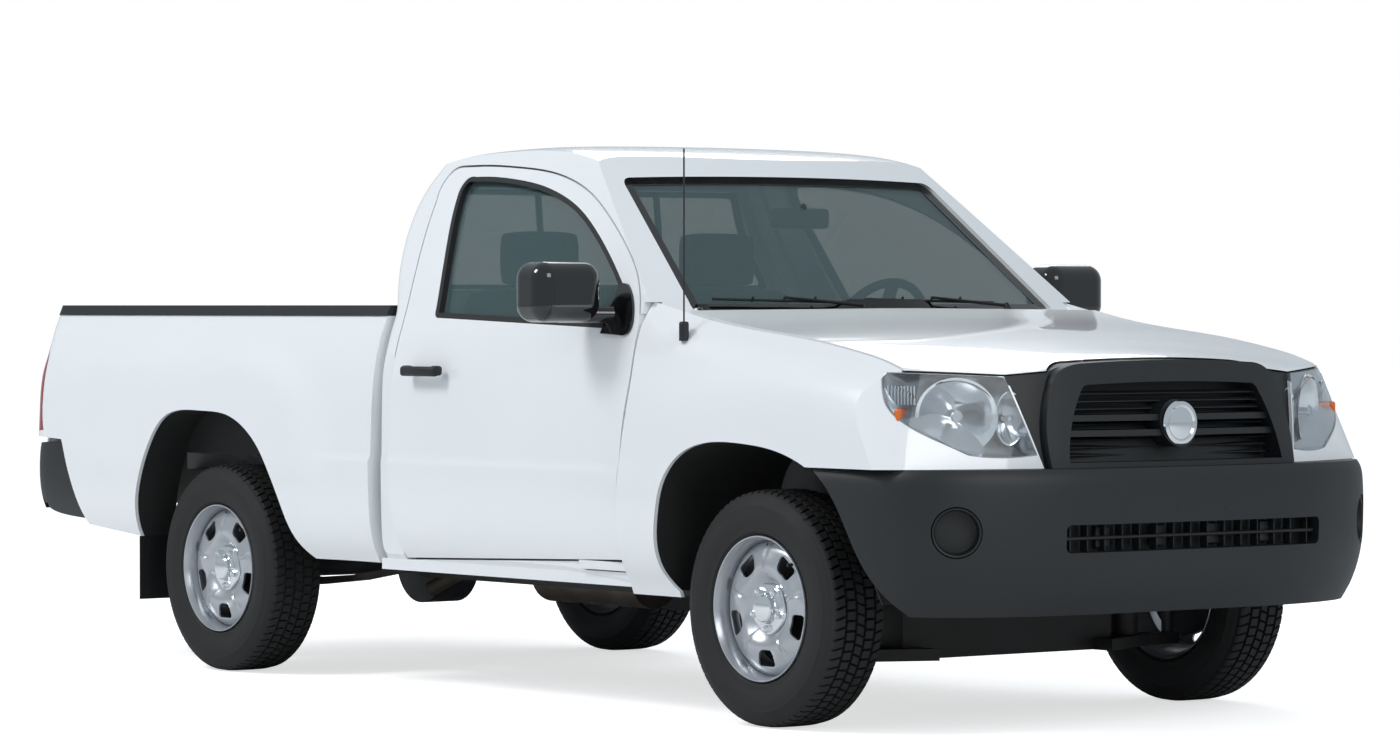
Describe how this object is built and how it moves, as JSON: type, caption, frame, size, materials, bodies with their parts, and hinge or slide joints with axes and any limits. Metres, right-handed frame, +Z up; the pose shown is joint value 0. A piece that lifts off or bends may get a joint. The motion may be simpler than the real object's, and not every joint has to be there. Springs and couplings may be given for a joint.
{
  "type": "pickup truck",
  "caption": "Compact pickup truck with a regular cab, open cargo bed, opening doors, hood and tailgate, and steered wheels that roll.",
  "frame": {"origin": "on the ground below the middle of the truck's length and width", "axes": "+X forward, +Y to the truck's left, +Z up"},
  "size_m": [4.8354, 2.1984, 1.6642],
  "materials": {
    "body_paint": "white gloss body paint",
    "black_plastic": "black grained plastic",
    "mirror_plastic": "black satin plastic",
    "window_glass": "green tinted glass",
    "lamp_lens": "clear lamp lens",
    "tail_lens": "red lamp lens",
    "frame_steel": "black frame paint",
    "cast_metal": "bare cast metal",
    "exhaust_steel": "dull steel",
    "wheel_silver": "silver wheel paint",
    "tyre_rubber": "black tyre rubber",
    "black_rubber": "black rubber",
    "seat_fabric": "dark grey woven fabric",
    "dash_plastic": "dark grey plastic"
  },
  "bodies": {
    "chassis": {"cab_shell": "body_paint", "windshield": "window_glass", "rear_window": "window_glass", "cab_floor": "body_paint", "fender_right": "body_paint", "fender_left": "body_paint", "headlamps": "lamp_lens", "grille": "black_plastic", "front_bumper": "black_plastic", "bedside_right": "body_paint", "bedside_left": "body_paint", "tail_lamps": "tail_lens", "rail_caps": "black_plastic", "cargo_box": "body_paint", "rear_bumper": "black_plastic", "ladder_frame": "frame_steel", "powertrain": "cast_metal", "exhaust": "exhaust_steel", "fuel_tank": "black_plastic", "spare_tyre": "tyre_rubber", "rear_axle": "cast_metal", "leaf_springs": "frame_steel", "front_suspension": "frame_steel", "arch_liners": "black_plastic", "cowl_panel": "black_plastic", "mud_flaps": "black_rubber", "antenna": "black_plastic", "seat_cushion": "seat_fabric", "seat_back": "seat_fabric", "headrests": "seat_fabric", "dashboard": "dash_plastic"},
    "door_right": {"door_right": "body_paint", "door_glass_right": "window_glass", "mirror_right": "mirror_plastic"},
    "door_left": {"door_left": "body_paint", "door_glass_left": "window_glass", "mirror_left": "mirror_plastic"},
    "hood": {"hood": "body_paint"},
    "tailgate": {"tailgate": "body_paint"},
    "knuckle_right": {"knuckle_right": "cast_metal"},
    "knuckle_left": {"knuckle_left": "cast_metal"},
    "tie_rod": {"tie_rod": "frame_steel"},
    "steering_wheel": {"steering_wheel": "dash_plastic"},
    "wheel_front_right": {"wheel_front_right": "wheel_silver", "tyre_front_right": "tyre_rubber"},
    "wheel_front_left": {"wheel_front_left": "wheel_silver", "tyre_front_left": "tyre_rubber"},
    "wheel_rear_right": {"wheel_rear_right": "wheel_silver", "tyre_rear_right": "tyre_rubber"},
    "wheel_rear_left": {"wheel_rear_left": "wheel_silver", "tyre_rear_left": "tyre_rubber"}
  },
  "joints": [
    {"name": "door_right_open", "type": "hinge", "parent": "chassis", "child": "door_right", "pos_m": [0.869, -0.878, 0.7], "axis": [0, 0, 1], "range_deg": [0, 65]},
    {"name": "door_left_open", "type": "hinge", "parent": "chassis", "child": "door_left", "pos_m": [0.869, 0.878, 0.7], "axis": [0, 0, -1], "range_deg": [0, 65]},
    {"name": "hood_open", "type": "hinge", "parent": "chassis", "child": "hood", "pos_m": [1.113, 0, 1.143], "axis": [0, -1, 0], "range_deg": [0, 50]},
    {"name": "tailgate_open", "type": "hinge", "parent": "chassis", "child": "tailgate", "pos_m": [-2.282, 0, 0.717], "axis": [0, -1, 0], "range_deg": [0, 90]},
    {"name": "steer_left", "type": "hinge", "parent": "chassis", "child": "knuckle_left", "pos_m": [1.548, 0.69, 0.332], "axis": [0, 0, 1], "range_deg": [-33, 33]},
    {"name": "steer_right", "type": "hinge", "parent": "chassis", "child": "knuckle_right", "pos_m": [1.548, -0.69, 0.332], "axis": [0, 0, 1], "range_deg": [-33.5, 33.5]},
    {"name": "tie_rod_slide", "type": "slide", "parent": "chassis", "child": "tie_rod", "axis": [0, -1, 0], "range_m": [-0.07, 0.07]},
    {"name": "steering_wheel_turn", "type": "hinge", "parent": "chassis", "child": "steering_wheel", "pos_m": [0.6, 0.365, 1.086], "axis": [-0.9063, 0, 0.4226], "range_deg": [-530, 530]},
    {"name": "wheel_front_right_spin", "type": "hinge", "parent": "knuckle_right", "child": "wheel_front_right", "pos_m": [1.548, -0.77, 0.332], "axis": [0, 1, 0], "continuous": true},
    {"name": "wheel_front_left_spin", "type": "hinge", "parent": "knuckle_left", "child": "wheel_front_left", "pos_m": [1.548, 0.77, 0.332], "axis": [0, 1, 0], "continuous": true},
    {"name": "wheel_rear_right_spin", "type": "hinge", "parent": "chassis", "child": "wheel_rear_right", "pos_m": [-1.232, -0.77, 0.332], "axis": [0, 1, 0], "continuous": true},
    {"name": "wheel_rear_left_spin", "type": "hinge", "parent": "chassis", "child": "wheel_rear_left", "pos_m": [-1.232, 0.77, 0.332], "axis": [0, 1, 0], "continuous": true}
  ],
  "couplings": [
    {"joint": "steer_right", "follows": "steer_left", "ratio": 1},
    {"joint": "tie_rod_slide", "follows": "steer_left", "m_per_rad": 0.115},
    {"joint": "steering_wheel_turn", "follows": "steer_left", "ratio": 16}
  ]
}
